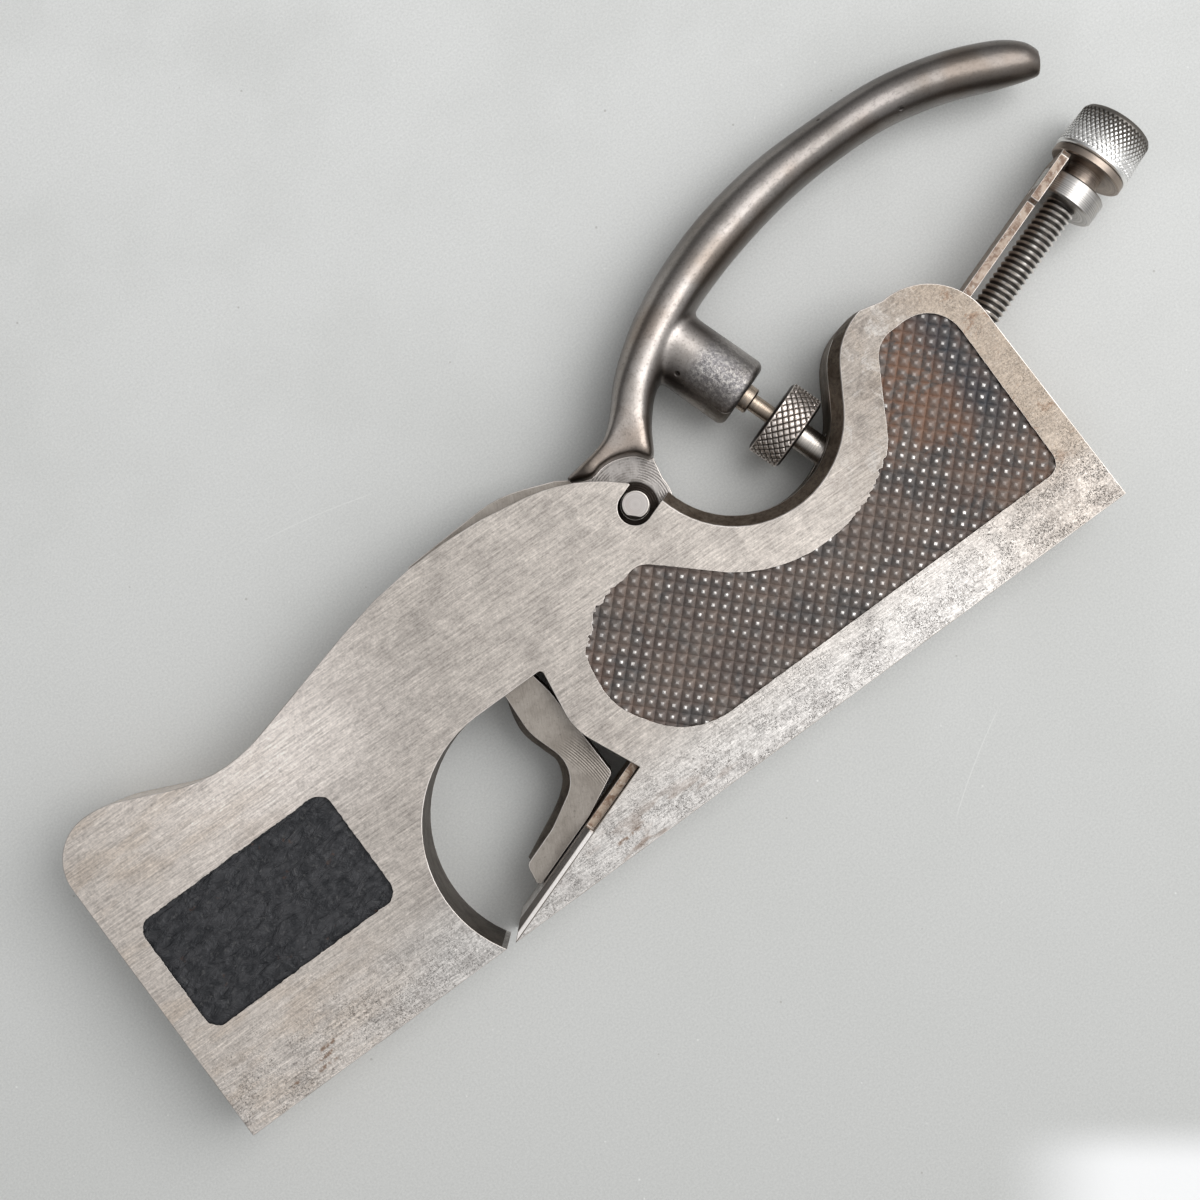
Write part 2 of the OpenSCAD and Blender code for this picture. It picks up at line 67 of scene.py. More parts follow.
def look_down():
    """The camera, straight above the table as in the photograph."""
    data = bpy.data.cameras.new("camera")
    data.lens = 60.5
    data.clip_start, data.clip_end = 0.01, 20
    camera = bpy.data.objects.new("camera", data)
    camera.location = Vector((*VIEW_CENTRE, VIEW_HEIGHT)) * MM
    camera.rotation_euler = (0, 0, -VIEW_TURN)
    bpy.context.scene.collection.objects.link(camera)
    bpy.context.scene.camera = camera


look_down()
bpy.context.scene.view_settings.view_transform = "Standard"


# Shader arithmetic

class Value:
    """A number or colour in a shader. Plain operators add the Math nodes."""

    def __init__(self, tree, socket):
        self.tree, self.socket = tree, socket

    def math(self, operation, *others, flip=False):
        """One Math node on this value and others."""
        values = [self, *others][::-1] if flip else [self, *others]
        return new_node(self.tree, "ShaderNodeMath", {"operation": operation}, dict(enumerate(values)))

    def __add__(self, other):
        return self.math("ADD", other)

    def __sub__(self, other):
        return self.math("SUBTRACT", other)

    def __rsub__(self, other):
        return self.math("SUBTRACT", other, flip=True)

    def __mul__(self, other):
        return self.math("MULTIPLY", other)

    def __truediv__(self, other):
        return self.math("DIVIDE", other)

    def __rtruediv__(self, other):
        return self.math("DIVIDE", other, flip=True)

    def __pow__(self, other):
        return self.math("POWER", other)

    def __rpow__(self, other):
        return self.math("POWER", other, flip=True)

    def __abs__(self):
        return self.math("ABSOLUTE")

    __radd__ = __add__
    __rmul__ = __mul__

    def high(self, other):
        """The larger of two values."""
        return self.math("MAXIMUM", other)

    def low(self, other):
        """The smaller of two values."""
        return self.math("MINIMUM", other)

    def step(self, start, end):
        """0 before start, 1 after end, and a smooth slope between them."""
        first, last = (0.0, 1.0) if start < end else (1.0, 0.0)
        return new_node(self.tree, "ShaderNodeMapRange", {"interpolation_type": "SMOOTHSTEP"}, {
            "Value": self, "From Min": min(start, end), "From Max": max(start, end),
            "To Min": first, "To Max": last}, "Result")

    def near(self, centre, reach):
        """1 at the centre, falling to 0 at this distance from it."""
        return abs(self - centre).step(reach, 0.0)


def put(tree, slot, value):
    """Sets a node's input to a number, a colour, or what another node gives."""
    if isinstance(value, Value):
        tree.links.new(value.socket, slot)
    elif hasattr(slot.default_value, "__len__") and not hasattr(value, "__len__"):
        slot.default_value = (value,) * 3
    elif hasattr(value, "__len__") and len(value) == 3 and slot.type == "RGBA":
        slot.default_value = (*value, 1.0)
    else:
        slot.default_value = value


def new_node(tree, kind, settings=None, inputs=None, out=0):
    """One node of any type: its settings first, then the values and links of its sockets."""
    node = tree.nodes.new(kind)
    for key, value in (settings or {}).items():
        setattr(node, key, value)
    for key, value in (inputs or {}).items():
        put(tree, node.inputs[key], value)
    return Value(tree, node.outputs[out])


class Finish:
    """A material with its shader, and the places on the part that its patterns are tied to."""

    def __init__(self, name, metallic=1.0, roughness=0.4):
        self.material = bpy.data.materials.new(name)
        self.material.use_nodes = True
        self.tree = self.material.node_tree
        self.shader = self.tree.nodes["Principled BSDF"]
        self.shader.inputs["Metallic"].default_value = metallic
        self.shader.inputs["Roughness"].default_value = roughness
        place = self.add("ShaderNodeTexCoord", out="Object")
        self.place = self.vector("SCALE", place, scale=1000.0)
        self.x, self.y, self.z = (
            self.add("ShaderNodeSeparateXYZ", inputs={0: self.place}, out=axis) for axis in "XYZ")
        self.height = None

    def add(self, kind, settings=None, inputs=None, out=0):
        """One node of this material."""
        return new_node(self.tree, kind, settings, inputs, out)

    def vector(self, operation, first, second=None, scale=None):
        """Vector arithmetic."""
        inputs = {0: first}
        if second is not None:
            inputs[1] = second
        if scale is not None:
            inputs["Scale"] = scale
        wanted = "Value" if operation in ("DOT_PRODUCT", "LENGTH", "DISTANCE") else "Vector"
        return self.add("ShaderNodeVectorMath", {"operation": operation}, inputs, wanted)

    def mix(self, first, second, factor):
        """A colour between two colours."""
        return self.add("ShaderNodeMix", {"data_type": "RGBA"}, {0: factor, 6: first, 7: second}, 2)

    def tint(self, colour, factor, other):
        """A colour multiplied by another colour, as far as the factor says."""
        settings = {"data_type": "RGBA", "blend_type": "MULTIPLY"}
        return self.add("ShaderNodeMix", settings, {0: factor, 6: colour, 7: other}, 2)

    def grey(self, value):
        """A grey as bright as a value."""
        return self.add("ShaderNodeCombineColor", None, {0: value, 1: value, 2: value})

    def stretched(self, scale, turn=0.0):
        """Places on the part in millimetres, scaled along the axes and turned round Z."""
        turned = self.add("ShaderNodeVectorRotate", {"rotation_type": "Z_AXIS"},
                          {"Vector": self.place, "Angle": turn})
        return self.vector("MULTIPLY", turned, scale)

    def grain(self, size, detail=3.0, rough=0.55, warp=0.0, place=None):
        """Cloudy noise around 0.5 with features of about this many millimetres."""
        return self.add("ShaderNodeTexNoise", None, {
            "Vector": place or self.place, "Scale": 1.0 / size, "Detail": detail,
            "Roughness": rough, "Distortion": warp})

    def stroke(self, start, end, wide, bow=0.0):
        """A line between two places, which fades at its ends."""
        ahead = Vector(end) - Vector(start)
        long, ahead = ahead.length, ahead.normalized()
        along = (self.x - start[0]) * ahead.x + (self.y - start[1]) * ahead.y
        off = (self.y - start[1]) * ahead.x - (self.x - start[0]) * ahead.y
        if bow:
            off = off + abs(along / long - 0.5) ** 2.0 * bow
        return abs(off).step(wide, wide * 0.25) * abs(along - long / 2).step(long * 0.5, long * 0.35)

    def pits(self, size, place=None):
        """Distance from the nearest of many random points, in cells of this size."""
        return self.add("ShaderNodeTexVoronoi", None,
                        {"Vector": place or self.place, "Scale": 1.0 / size}, "Distance")

    def radius(self, point, axis):
        """Distance from an axis through a point, in millimetres."""
        offset = self.vector("SUBTRACT", self.place, tuple(point))
        along = self.vector("DOT_PRODUCT", offset, tuple(axis))
        across = self.vector("LENGTH", offset)
        return (across * across - along * along).high(0.0) ** 0.5

    def bump(self, height, depth):
        """Adds a relief of this depth in millimetres to the normal."""
        inputs = {"Strength": 1.0, "Distance": depth * MM, "Height": height}
        if self.height is not None:
            inputs["Normal"] = self.height
        self.height = self.add("ShaderNodeBump", None, inputs)

    def done(self, colour, roughness=None, metallic=None):
        """The finished material, its shader fed with what varies over the surface."""
        inputs = {
            "Base Color": colour, "Roughness": roughness, "Metallic": metallic, "Normal": self.height}
        for key, value in inputs.items():
            if value is not None:
                put(self.tree, self.shader.inputs[key], value)
        return self.material


# Finishes

RUST_STROKES = [
    ((-84.8, 2.4), (-79.6, 2.6)), ((-84.0, 3.9), (-78.4, 4.2)), ((-82.6, 5.4), (-77.6, 5.6)),
    ((-90.4, 3.0), (-88.2, 3.2)), ((-14.6, 3.4), (-8.4, 3.6)),
]


def ground_face():
    """The body's ground side faces: fine grinding lines, cloudy patina, pits near the sole."""
    coat = Finish("ground_face")
    # Textures: grinding lines, clouds and stains
    brushed = coat.grain(1.0, 3.0, 0.75, place=coat.stretched((0.20, 3.0, 1.0), 0.03))
    lines = coat.grain(1.0, 3.0, 0.7, place=coat.stretched((0.05, 2.2, 1.0), 0.05))
    cloud = coat.grain(8.0, 6.0, 0.7, 0.5)
    stain = coat.grain(1.6, 6.0, 0.8, 0.3)
    # Zones of the side: along the sole, the toe, the heel, the waist and the hump
    low = coat.y.step(19.0, 3.0)
    toe = coat.x.step(-45.0, -85.0)
    heel = coat.x.step(62.0, 92.0)
    waist = coat.x.near(-64.0, 46.0) * coat.y.step(30.0, 56.0)
    hump = coat.x.step(48.0, 74.0) * coat.y.step(14.0, 28.0)
    back = coat.x.step(80.0, 95.0) * coat.y.step(7.0, 15.0)
    wear = (low * 0.8 + toe * coat.y.step(34.0, 8.0) * 0.45 + heel * 0.25).low(1.0)
    # Ground metal, brighter or browner from zone to zone
    colour = coat.mix((0.55, 0.500, 0.455), (0.44, 0.400, 0.365), cloud.step(0.34, 0.66))
    colour = coat.mix(colour, (0.65, 0.625, 0.60), low * (1.0 - heel) * 0.9)
    colour = coat.mix(colour, (0.285, 0.252, 0.222), hump * 0.85)
    colour = coat.mix(colour, (0.97, 0.89, 0.83), waist * 0.9)
    colour = coat.mix(colour, (0.74, 0.67, 0.61), toe * 0.7)
    streak = coat.grain(5.0, 4.0, 0.6, place=coat.stretched((0.35, 1.0, 1.0))).step(0.44, 0.66)
    colour = coat.mix(colour, (0.62, 0.52, 0.43), streak * toe * 0.5)
    blotch = coat.grain(7.0, 5.0, 0.7).step(0.48, 0.66) * (0.35 + hump * 0.6 + low * 0.2)
    colour = coat.tint(colour, blotch.low(1.0), (0.70, 0.69, 0.69))
    bare = coat.grain(4.0, 5.0, 0.7, 0.6).step(0.52, 0.66) * hump
    colour = coat.mix(colour, (0.47, 0.445, 0.42), bare * 0.6)
    tan = coat.grain(10.0, 4.0, 0.6, 0.4).step(0.45, 0.64) * heel * coat.y.step(8.0, 16.0)
    colour = coat.mix(colour, (0.33, 0.265, 0.205), tan * 0.6)
    colour = coat.mix(colour, (0.30, 0.248, 0.200), back * 0.85)
    colour = coat.tint(colour, heel * coat.y.step(16.0, 8.0), (0.87, 0.86, 0.85))
    rust = coat.grain(5.0, 5.0, 0.7, 0.6).step(0.56, 0.66)
    rust = rust * coat.x.step(76.0, 99.0) * coat.y.step(6.0, 18.0)
    colour = coat.mix(colour, (0.26, 0.155, 0.095), rust * 0.7)
    # Light and shade of the grain, then pits, bright grit and rust
    shade = ((brushed - 0.5) * 1.4 + (lines - 0.5) * 0.7) * (1.0 - heel * 0.5) + (stain - 0.5) * 0.75
    speckled = coat.grain(0.42, 3.0, 0.75)
    shade = shade + (speckled - 0.5) * (1.0 + heel * 0.5 + low * 0.6)
    colour = coat.tint(colour, 1.0, coat.grey(1.0 + shade))
    mottle = coat.grain(0.95, 4.0, 0.75, 0.4).step(0.50, 0.64)
    mottle = mottle * coat.grain(5.0, 3.0, 0.6).step(0.34, 0.56)
    colour = coat.tint(colour, mottle * (low * 0.55 + 0.12), (0.50, 0.48, 0.47))
    pepper = coat.grain(0.24, 3.0, 0.75).step(0.51, 0.68) * coat.grain(3.4, 3.0, 0.6).step(0.36, 0.60)
    pepper = pepper * (wear * 0.8 + 0.10)
    pock = coat.pits(1.1).step(0.26, 0.04) * coat.grain(3.0).step(0.50, 0.62) * (wear * 0.7 + 0.12)
    colour = coat.mix(colour, (0.15, 0.13, 0.115), (pepper * 0.85 + pock * 0.7).low(0.9))
    salt = coat.grain(0.3, 3.0, 0.75, place=coat.stretched((1.0, 1.0, 1.0), 0.7)).step(0.55, 0.68)
    colour = coat.mix(colour, (0.88, 0.85, 0.81), salt * (wear * 0.45 + 0.05))
    ragged = coat.grain(1.2, 4.0, 0.7).step(0.40, 0.56)
    strokes = [coat.stroke(a, b, 0.55) for a, b in RUST_STROKES]
    brown = sum(strokes[1:], strokes[0]) * ragged
    smudge = coat.grain(3.8, 3.0, 0.6, place=coat.stretched((0.32, 1.0, 1.0))).step(0.52, 0.63)
    brown = (brown + smudge * coat.y.step(9.0, 2.0) * coat.x.near(-6.0, 26.0) * 0.8).low(1.0)
    colour = coat.mix(colour, (0.24, 0.145, 0.09), brown * 0.8)
    coat.bump(lines * 0.5 + brushed * 0.5, 0.020)
    coat.bump(pepper + pock, -0.05)
    rough = 0.36 + cloud * 0.12 + pepper * 0.12 + brushed * 0.06 + brown * 0.2
    return coat.done(colour, rough, 1.0 - (pepper * 0.25 + pock * 0.3 + brown * 0.5 + rust * 0.5))


def worn_edge(name):
    """Bright metal where handling has rubbed the edges."""
    coat = Finish(name)
    worn = coat.grain(9.0, 3.0, 0.6).step(0.36, 0.66)
    colour = coat.mix((0.50, 0.455, 0.415), (0.74, 0.69, 0.65), worn)
    coat.bump(coat.grain(0.5, 3.0), 0.03)
    return coat.done(colour, 0.30 + coat.grain(1.2) * 0.18)


def dark_wall(name, light):
    """Filed and cast walls inside the openings: dark brown grey with old grime, and painted shade, as
    light sets how dark each copy is painted.
    """
    coat = Finish(name, 0.75, 0.5)
    cloud = coat.grain(4.0, 5.0, 0.65, 0.4)
    grime = coat.grain(0.8, 4.0, 0.7).step(0.44, 0.66)
    # Painted shade: light scales the colour, so each copy of the wall is painted as dark as the shade
    # where it stands.
    brown = [light * part for part in (0.19, 0.152, 0.118)]
    dark = [light * part for part in (0.11, 0.082, 0.06)]
    colour = coat.mix(brown, dark, cloud.step(0.38, 0.66))
    colour = coat.mix(colour, (0.035, 0.028, 0.022), grime * 0.5)
    coat.bump(coat.grain(0.7, 4.0, 0.65), 0.09)
    return coat.done(colour, 0.42 + cloud * 0.22)


def panel_floor():
    """The toe panel's rough cast floor, nearly black."""
    coat = Finish("panel_floor", 0.35, 0.55)
    cloud = coat.grain(2.2, 5.0, 0.65, 0.5)
    colour = coat.mix((0.020, 0.021, 0.024), (0.052, 0.052, 0.056), cloud.step(0.36, 0.66))
    rust = coat.grain(3.5, 3.0).step(0.66, 0.74)
    colour = coat.mix(colour, (0.085, 0.04, 0.024), rust * 0.7)
    rim = coat.grain(0.9, 3.0, 0.6).step(0.58, 0.70)
    colour = coat.mix(colour, (0.10, 0.098, 0.096), rim * 0.5)
    hammered = coat.grain(2.0, 4.0, 0.6, 0.6, coat.stretched((0.5, 1.3, 1.0)))
    coat.bump(hammered, 0.75)
    return coat.done(colour, 0.36 + cloud * 0.22)


def checkered():
    """The checkered grip: dark grey casting with rust, its points rubbed bright."""
    coat = Finish("checkered", 0.7, 0.5)
    cloud = coat.grain(7.0, 4.0, 0.6, 0.5)
    colour = coat.mix((0.190, 0.160, 0.142), (0.118, 0.108, 0.104), cloud.step(0.40, 0.60))
    heel = coat.x.step(70.0, 88.0) * 0.35 + coat.x.step(8.0, -2.0) * 0.3
    hump = coat.y.step(20.0, 38.0) * coat.x.step(58.0, 76.0)
    blue = coat.y.step(17.0, 30.0) * coat.x.near(91.0, 7.0)
    rust = coat.grain(5.5, 5.0, 0.65, 0.8).step(0.62, 0.44) * (0.26 + hump * 0.75 + heel - blue * 0.6)
    rust = rust.low(1.0).high(0.0)
    colour = coat.mix(colour, (0.255, 0.125, 0.070), rust * 0.68)
    colour = coat.mix(colour, (0.055, 0.062, 0.074), blue * 0.75)
    up = abs(coat.z - MID)
    tip = up.step(9.17, 9.29)
    flank = up.step(8.75, 9.15)
    rub = coat.grain(14.0, 2.0).step(0.36, 0.56) * (1.0 - rust * 0.45)
    rub = rub * (1.0 - coat.y.step(34.0, 46.0) * 0.6)
    colour = coat.mix(colour, (0.32, 0.29, 0.27), flank * 0.30)
    spark = coat.grain(1.9, 2.0, 0.6).step(0.40, 0.62)
    colour = coat.mix(colour, (0.90, 0.87, 0.84), tip * (rub * 0.80 * (0.25 + spark * 0.75) + 0.12))
    coat.bump(coat.grain(0.55, 4.0, 0.65), 0.10)
    rough = 0.52 - tip * rub * 0.24 + coat.grain(1.2) * 0.1
    return coat.done(colour, rough, 0.55 + tip * rub * 0.4 - rust * 0.3)


def lever_skin():
    """The palm arm: a hand-polished dark casting with a fine cast grain, and painted shade on its lower
    half.
    """
    coat = Finish("lever_skin")
    cloud = coat.grain(12.0, 4.0, 0.6, 0.4)
    fine = coat.grain(0.55, 4.0, 0.7)
    colour = coat.mix((0.41, 0.376, 0.353), (0.305, 0.277, 0.254), cloud.step(0.36, 0.66))
    brown = coat.grain(17.0, 3.0, 0.5).step(0.46, 0.62)
    colour = coat.mix(colour, (0.27, 0.210, 0.165), brown * 0.6)
    along = coat.vector("DOT_PRODUCT", coat.vector("SUBTRACT", coat.place, tuple(PIVOT)), tuple(UP_BED))
    colour = coat.tint(colour, 1.0, coat.grey(1.0 - along.step(24.0, 112.0) * 0.48))
    above = coat.vector("DOT_PRODUCT", coat.vector("SUBTRACT", coat.place, tuple(PIVOT)), tuple(OFF_BED))
    # Painted shade: over most of the arm's length its lower half, towards the table, is painted darker,
    # as if in shade.
    level = (coat.z - MID) / ((1.02 - along * 0.0038) * 9.2)
    painted_shade_below = level.step(0.86, 0.50) * along.step(117.0, 105.0) * above.step(2.0, 7.0)
    colour = coat.tint(colour, painted_shade_below, (0.44, 0.42, 0.41))
    boss = above.step(8.5, 4.5) * along.near(29.4, 9.5)
    pitted = coat.grain(0.75, 5.0, 0.75)
    speckled = coat.mix((0.17, 0.17, 0.185), (0.52, 0.50, 0.48), pitted.step(0.44, 0.62))
    colour = coat.mix(colour, speckled, boss * 0.8)
    dents = coat.pits(7.0).step(0.10, 0.03) * coat.grain(9.0).step(0.50, 0.56)
    colour = coat.mix(colour, (0.06, 0.052, 0.048), dents * 0.8)
    grit = fine.step(0.50, 0.70)
    colour = coat.mix(colour, (0.10, 0.088, 0.080), grit * 0.42)
    colour = coat.tint(colour, 1.0, coat.grey(0.82 + coat.grain(0.4, 3.0, 0.75) * 0.36))
    coat.bump(fine, 0.024)
    coat.bump(pitted * boss, 0.13)
    coat.bump(dents, -0.22)
    return coat.done(colour, 0.28 + cloud * 0.1 + grit * 0.08 + boss * 0.04)


def milled():
    """The lever's machined limb and disc, with fine tool marks round the pivot."""
    coat = Finish("milled")
    cloud = coat.grain(6.0, 4.0, 0.6, 0.3)
    away = coat.radius(PIVOT, (0.0, 0.0, 1.0))
    rings = (away * 13.0).math("SINE") * 0.5 + 0.5
    disc = away.step(11.0, 9.0)
    sweep = coat.vector("DISTANCE", coat.place, tuple(MOUTH + 6 * UP_BED + 13 * OFF_BED))
    ridges = (sweep * 14.0).math("SINE") * 0.5 + 0.5
    corner = coat.vector("DOT_PRODUCT", coat.vector("SUBTRACT", coat.place, tuple(MOUTH)), tuple(UP_BED))
    corner = corner.step(32.0, 36.0) * (1.0 - disc) * coat.y.step(26.0, 21.0)
    marks = rings * disc * coat.grain(3.0).step(0.34, 0.6) + ridges * corner
    fine = coat.grain(1.0, 3.0, 0.6, place=coat.stretched((0.5, 3.5, 1.0), -1.1))
    colour = coat.mix((0.35, 0.315, 0.28), (0.27, 0.24, 0.21), cloud.step(0.34, 0.70))
    colour = coat.mix(colour, (0.40, 0.375, 0.36), disc * 0.8)
    colour = coat.tint(colour, 1.0, coat.grey(0.62 + fine * 0.5 + coat.grain(0.5, 3.0, 0.75) * 0.26))
    colour = coat.mix(colour, (0.13, 0.112, 0.098), marks * 0.55)
    colour = coat.mix(colour, (0.025, 0.020, 0.017), away.step(4.9, 4.3))
    rust = coat.grain(3.0, 4.0, 0.6, 0.6).step(0.50, 0.62)
    rust = rust * coat.x.near(16.5, 6.0) * coat.y.near(58.5, 5.0)
    colour = coat.mix(colour, (0.33, 0.15, 0.055), rust * 0.8)
    grime = coat.grain(0.7, 4.0, 0.7).step(0.56, 0.72)
    colour = coat.mix(colour, (0.10, 0.088, 0.078), grime * 0.45)
    coat.bump(marks, 0.05)
    coat.bump(coat.grain(0.6, 3.0), 0.02)
    return coat.done(colour, 0.38 + cloud * 0.14, 1.0 - rust * 0.6)


def iron_steel():
    """The cutting iron: bright at the ground blade, tan with light rust on the tang."""
    coat = Finish("iron_steel")
    along = coat.vector("DOT_PRODUCT", coat.vector("SUBTRACT", coat.place, tuple(MOUTH)), tuple(UP_BED))
    tang = along.step(24.8, 26.0)
    slope = math.atan2(UP_BED.y, UP_BED.x)
    scratch = coat.grain(1.0, 3.0, 0.7, place=coat.stretched((0.5, 6.0, 1.0), -slope))
    colour = coat.mix((0.86, 0.82, 0.79), (0.58, 0.545, 0.52), scratch.step(0.40, 0.70) * 0.6)
    spot = coat.grain(1.5, 5.0, 0.7, 0.5)
    tan = coat.mix((0.52, 0.42, 0.335), (0.30, 0.195, 0.135), spot.step(0.44, 0.60))
    tan = coat.mix(tan, (0.62, 0.56, 0.49), coat.grain(0.8, 3.0, 0.7).step(0.58, 0.68))
    tan = coat.tint(tan, along.step(60.0, 130.0), (0.66, 0.66, 0.68))
    colour = coat.mix(colour, tan, tang)
    coat.bump(coat.grain(0.5, 4.0, 0.7), 0.03)
    return coat.done(colour, 0.32 + spot * 0.16 + tang * 0.1, 1.0 - tang * spot.step(0.42, 0.6) * 0.5)


def turned_steel(name, colours, point, axis, lines, roughness, bronze=None):
    """Turned steel with fine lathe marks round its axis, tinted bronze beyond a distance along it."""
    coat = Finish(name)
    offset = coat.vector("SUBTRACT", coat.place, tuple(point))
    along = coat.vector("DOT_PRODUCT", offset, tuple(axis))
    spread = coat.add("ShaderNodeCombineXYZ", None, {0: along * lines, 1: coat.radius(point, axis) * 2.0})
    marks = coat.grain(1.0, 3.0, 0.7, place=spread)
    cloud = coat.grain(2.4, 4.0, 0.6, 0.4)
    colour = coat.mix(colours[0], colours[1], marks.step(0.36, 0.66))
    colour = coat.mix(colour, colours[2], cloud.step(0.54, 0.70) * 0.6)
    if bronze:
        colour = coat.tint(colour, along.step(bronze - 0.5, bronze + 0.5), (0.74, 0.66, 0.58))
    coat.bump(marks, 0.03)
    return coat.done(colour, roughness + marks * 0.14)


def knurled_steel(name, crest, root, point, axis, outer, depth):
    """Knurled or threaded steel: bright on the crests, dark in the grooves."""
    coat = Finish(name)
    away = coat.radius(point, axis)
    top = away.step(outer - depth * 0.8, outer - depth * 0.18)
    cloud = coat.grain(2.8, 4.0, 0.6)
    colour = coat.mix(root, crest, top * (0.72 + cloud * 0.4).low(1.0))
    coat.bump(coat.grain(0.35, 3.0), 0.015)
    return coat.done(colour, 0.46 - top * 0.16 + cloud * 0.08)


SCRATCHES = [
    ((-98, 146), (-76, 132)), ((92, 152), (104, 171)), ((-84, 167), (-60, 159)),
    ((-38, 92), (-12, 86)), ((118, -22), (128, 4)), ((40, -34), (62, -20)),
]


def table_top():
    """The pale grey table with fine scratches, its colour painted lighter towards the top of the view and
    with a painted glare.
    """
    coat = Finish("table_top", 0.0, 0.62)
    east, north = coat.x - VIEW_CENTRE[0], coat.y - VIEW_CENTRE[1]
    right = east * math.cos(VIEW_TURN) - north * math.sin(VIEW_TURN)
    up = east * math.sin(VIEW_TURN) + north * math.cos(VIEW_TURN)
    # Painted light: the table's colour grows lighter towards the top of the view, as the room's light
    # falls on it.
    shade = ((up * 0.27 - right * 0.05) / 118.0).low(0.4).high(-0.4) + 0.5
    colour = coat.mix((0.55, 0.552, 0.535), (0.795, 0.80, 0.785), shade)
    cloud = coat.grain(60.0, 4.0, 0.6)
    colour = coat.mix(colour, (0.60, 0.605, 0.585), cloud.step(0.40, 0.66) * 0.4)
    sand = coat.grain(0.45, 3.0, 0.75)
    colour = coat.tint(colour, 1.0, coat.grey(0.76 + sand * 0.48))
    dust = coat.pits(5.5).step(0.055, 0.02) * coat.grain(19.0).step(0.44, 0.60)
    colour = coat.mix(colour, (0.90, 0.90, 0.88), dust * 0.6)
    speck = coat.pits(9.0, coat.stretched((1.0, 1.0, 1.0), 1.3)).step(0.035, 0.02)
    colour = coat.mix(colour, (0.30, 0.28, 0.25), speck * 0.45)
    scratches = [coat.stroke(a, b, 0.16, 2.4) for a, b in SCRATCHES]
    colour = coat.mix(colour, (0.88, 0.88, 0.86), sum(scratches[1:], scratches[0]) * 0.35)
    # Painted glare: a white patch of light painted in the lower right of the view.
    painted_glare = right.step(76.0, 104.0) * up.step(-101.0, -112.0)
    painted_glare = painted_glare * right.step(185.0, 135.0) * up.step(-175.0, -135.0)
    colour = coat.mix(colour, (1.0, 1.0, 1.0), painted_glare)
    coat.bump(coat.grain(1.4, 4.0, 0.6), 0.03)
    return coat.done(colour)


# Mesh building

def placed(mesh, name="work"):
    """An object with a mesh, in the scene."""
    piece = bpy.data.objects.new(name, mesh)
    bpy.context.scene.collection.objects.link(piece)
    return piece


def shown(mesh, name, body, materials=(), smooth=35.0):
    """Puts a mesh in the scene as a piece that rides on a body."""
    for material in materials:
        mesh.materials.append(material)
    if not mesh.has_custom_normals:
        smoothed(mesh, smooth)
    piece = placed(mesh, name)
    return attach(piece, body)


def smoothed(mesh, angle):
    """Smooth shading, apart from the edges sharper than an angle."""
    mesh.polygons.foreach_set("use_smooth", [True] * len(mesh.polygons))
    mesh.set_sharp_from_angle(angle=math.radians(angle))


def mesh_of(points, faces, name):
    """A mesh from points in millimetres."""
    mesh = bpy.data.meshes.new(name)
    mesh.from_pydata([tuple(Vector(p) * MM) for p in points], [], faces)
    mesh.validate()
    mesh.update()
    return mesh


def welded(node):
    """A CAD node's own solid, its facets joined and its flat faces whole."""
    solid = bmesh.new()
    solid.from_mesh(frame["nodes"][node].data)
    bmesh.ops.remove_doubles(solid, verts=solid.verts, dist=2e-6)
    bmesh.ops.dissolve_limit(solid, angle_limit=math.radians(0.8), verts=solid.verts, edges=solid.edges)
    for face in solid.faces:
        face.material_index = 0
    return solid


def as_mesh(solid, name, finishes):
    """The solid as a plain mesh with its finishes."""
    mesh = bpy.data.meshes.new(name)
    solid.to_mesh(mesh)
    solid.free()
    while mesh.attributes.get("custom_normal"):
        mesh.attributes.remove(mesh.attributes["custom_normal"])
    for finish in finishes:
        mesh.materials.append(finish)
    return mesh


def settled(piece, changes):
    """An object's mesh after a run of modifiers, each a type and its settings. The object goes."""
    for kind, settings in changes:
        modifier = piece.modifiers.new(kind.lower(), kind)
        for key, value in settings.items():
            setattr(modifier, key, value)
    graph = bpy.context.evaluated_depsgraph_get()
    made = bpy.data.meshes.new_from_object(piece.evaluated_get(graph), depsgraph=graph)
    tools = [settings["object"] for kind, settings in changes if kind == "BOOLEAN"]
    for used in [piece, *tools]:
        bpy.data.objects.remove(used)
    return made


def modified(mesh, changes):
    """A mesh after a run of modifiers."""
    return settled(placed(mesh), changes)


def handled(mesh, width, limit="ANGLE"):
    """A mesh with its edges rounded by use; the rounded strips take its second finish."""
    mesh = modified(mesh, [("BEVEL", {
        "width": width * MM, "segments": 2, "limit_method": limit, "material": 1,
        "angle_limit": math.radians(25), "use_clamp_overlap": False})])
    smoothed(mesh, 35.0)
    return modified(mesh, [("WEIGHTED_NORMAL", {"keep_sharp": True, "weight": 80})])


def combined(mesh, operation):
    """The modifier that joins, keeps or cuts away another mesh."""
    return "BOOLEAN", {"object": placed(mesh), "operation": operation, "solver": "EXACT"}


def prism(outline, low, high):
    """A closed plate from an outline [x, y] in millimetres."""
    n = len(outline)
    points = [(x, y, z) for z in (low, high) for x, y in outline]
    faces = [list(range(n))[::-1], [n + i for i in range(n)]]
    faces += [[i, (i + 1) % n, n + (i + 1) % n, n + i] for i in range(n)]
    return mesh_of(points, faces, "prism")


def on_bed(s, n):
    """A point of the mid plane from its distance up the bed and its height above it."""
    return MOUTH + s * UP_BED + n * OFF_BED


